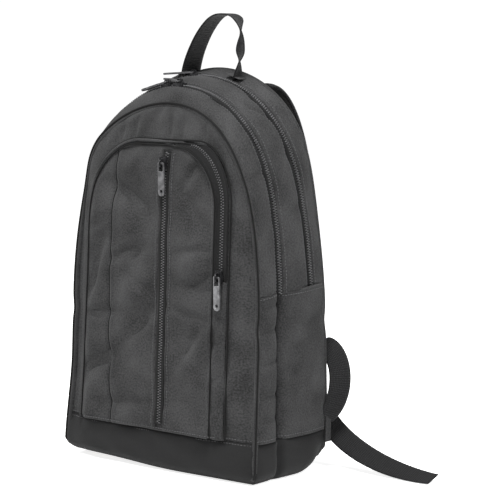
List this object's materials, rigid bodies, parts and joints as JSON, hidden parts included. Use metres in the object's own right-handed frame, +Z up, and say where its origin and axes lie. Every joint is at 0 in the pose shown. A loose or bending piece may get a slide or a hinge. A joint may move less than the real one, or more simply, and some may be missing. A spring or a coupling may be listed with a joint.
{
  "type": "school backpack",
  "caption": "School backpack with two zipped compartments, a front pocket with a vertical zip and a curved zip, a webbing grab handle and adjustable padded shoulder straps.",
  "frame": {"origin": "centre of the base on the ground", "axes": "+Z up; the front with the pocket faces -Y, the back panel with the straps faces +Y, +X is to the right seen from the front"},
  "size_m": [0.4436, 0.2559, 0.5005],
  "materials": {
    "body_fabric": "woven polyester, matt",
    "boot_fabric": "smooth coated polyester, matt",
    "piping": "bound seam cord",
    "zip_tape": "woven tape with a nylon coil",
    "slider_metal": "black enamel, worn",
    "puller_metal": "dark enamel, satin",
    "webbing": "ribbed webbing",
    "strap_fabric": "padded polyester",
    "lock_plastic": "moulded acetal",
    "back_mesh": "spacer mesh",
    "board": "fibre board"
  },
  "bodies": {
    "bag": {"front_panel": "body_fabric", "front_gusset_upper": "body_fabric", "front_gusset_lower_left": "body_fabric", "front_gusset_lower_right": "body_fabric", "front_zip": "zip_tape", "divider_panel": "body_fabric", "main_gusset_front": "body_fabric", "main_gusset_lower_left": "body_fabric", "main_gusset_lower_right": "body_fabric", "main_zip": "zip_tape", "main_gusset_back": "body_fabric", "back_panel": "back_mesh", "back_pads": "back_mesh", "boot_front": "boot_fabric", "boot_side_left": "boot_fabric", "boot_side_right": "boot_fabric", "boot_bottom": "boot_fabric", "base_board": "board", "front_piping": "piping", "pocket_panel": "body_fabric", "pocket_strip": "body_fabric", "pocket_welt": "piping", "pocket_zip": "zip_tape", "centre_zip": "zip_tape", "handle_tabs": "webbing", "strap_yoke": "back_mesh", "corner_tab_left": "body_fabric", "corner_tab_right": "body_fabric"},
    "centre_slider": {"centre_slider": "slider_metal"},
    "centre_puller": {"centre_puller": "puller_metal"},
    "pocket_slider": {"pocket_slider": "slider_metal"},
    "pocket_puller": {"pocket_puller": "puller_metal"},
    "front_slider_left": {"front_slider_left": "slider_metal"},
    "front_puller_left": {"front_puller_left": "puller_metal"},
    "front_slider_right": {"front_slider_right": "slider_metal"},
    "front_puller_right": {"front_puller_right": "puller_metal"},
    "main_slider_left": {"main_slider_left": "slider_metal"},
    "main_puller_left": {"main_puller_left": "puller_metal"},
    "main_slider_right": {"main_slider_right": "slider_metal"},
    "main_puller_right": {"main_puller_right": "puller_metal"},
    "grab_handle": {"grab_handle": "webbing"},
    "strap_left": {"shoulder_strap_left": "strap_fabric", "strap_lock_left": "lock_plastic", "lower_webbing_left": "webbing"},
    "tail_left": {"webbing_tail_left": "webbing"},
    "strap_right": {"shoulder_strap_right": "strap_fabric", "strap_lock_right": "lock_plastic", "lower_webbing_right": "webbing"},
    "tail_right": {"webbing_tail_right": "webbing"}
  },
  "joints": [
    {"name": "centre_slider_slide", "type": "slide", "parent": "bag", "child": "centre_slider", "axis": [0, -0.0308, -0.9995], "range_m": [0, 0.27]},
    {"name": "centre_puller_flip", "type": "hinge", "parent": "centre_slider", "child": "centre_puller", "pos_m": [0.014, -0.06967, 0.34018], "axis": [-1, 0, 0], "range_deg": [0, 165]},
    {"name": "pocket_slider_slide", "type": "slide", "parent": "bag", "child": "pocket_slider", "axis": [0, 0.03, 0.9996], "range_m": [0, 0.07]},
    {"name": "pocket_puller_flip", "type": "hinge", "parent": "pocket_slider", "child": "pocket_puller", "pos_m": [0.096, -0.07194, 0.22218], "axis": [-1, 0, 0], "range_deg": [0, 165]},
    {"name": "front_slider_left_travel", "type": "hinge", "parent": "bag", "child": "front_slider_left", "pos_m": [0, -0.023, 0.292], "axis": [0, 1, 0], "range_deg": [-66, 0]},
    {"name": "front_puller_left_flip", "type": "hinge", "parent": "front_slider_left", "child": "front_puller_left", "pos_m": [-0.01871, -0.023, 0.42681], "axis": [0, 1, 0], "range_deg": [0, 30]},
    {"name": "front_slider_right_travel", "type": "hinge", "parent": "bag", "child": "front_slider_right", "pos_m": [0, -0.023, 0.292], "axis": [0, 1, 0], "range_deg": [0, 74]},
    {"name": "front_puller_right_flip", "type": "hinge", "parent": "front_slider_right", "child": "front_puller_right", "pos_m": [-0.00024, -0.023, 0.4281], "axis": [0, 1, 0], "range_deg": [0, 160]},
    {"name": "main_slider_left_travel", "type": "hinge", "parent": "bag", "child": "main_slider_left", "pos_m": [0, 0.02496, 0.30216], "axis": [0, 0.9972, 0.0744], "range_deg": [-60, 0]},
    {"name": "main_puller_left_flip", "type": "hinge", "parent": "main_slider_left", "child": "main_puller_left", "pos_m": [-0.03131, 0.01511, 0.43424], "axis": [0, 0.9972, 0.0744], "range_deg": [0, 30]},
    {"name": "main_slider_right_travel", "type": "hinge", "parent": "bag", "child": "main_slider_right", "pos_m": [0, 0.02496, 0.30216], "axis": [0, 0.9972, 0.0744], "range_deg": [0, 79]},
    {"name": "main_puller_right_flip", "type": "hinge", "parent": "main_slider_right", "child": "main_puller_right", "pos_m": [-0.01304, 0.01488, 0.43726], "axis": [0, 0.9972, 0.0744], "range_deg": [0, 160]},
    {"name": "handle_swing", "type": "hinge", "parent": "bag", "child": "grab_handle", "pos_m": [0, 0.035, 0.438], "axis": [1, 0, 0], "range_deg": [-40, 40]},
    {"name": "strap_left_swing", "type": "hinge", "parent": "bag", "child": "strap_left", "pos_m": [-0.052, 0.05, 0.418], "axis": [0.2617, -0.0191, 0.965], "range_deg": [0, 20]},
    {"name": "tail_left_lift", "type": "hinge", "parent": "strap_left", "child": "tail_left", "pos_m": [-0.116, 0.08, 0.128], "axis": [1, 0, 0], "range_deg": [0, 45]},
    {"name": "strap_right_swing", "type": "hinge", "parent": "bag", "child": "strap_right", "pos_m": [0.052, 0.05, 0.418], "axis": [0.2617, 0.0191, -0.965], "range_deg": [0, 20]},
    {"name": "tail_right_lift", "type": "hinge", "parent": "strap_right", "child": "tail_right", "pos_m": [0.116, 0.08, 0.128], "axis": [1, 0, 0], "range_deg": [0, 45]}
  ]
}
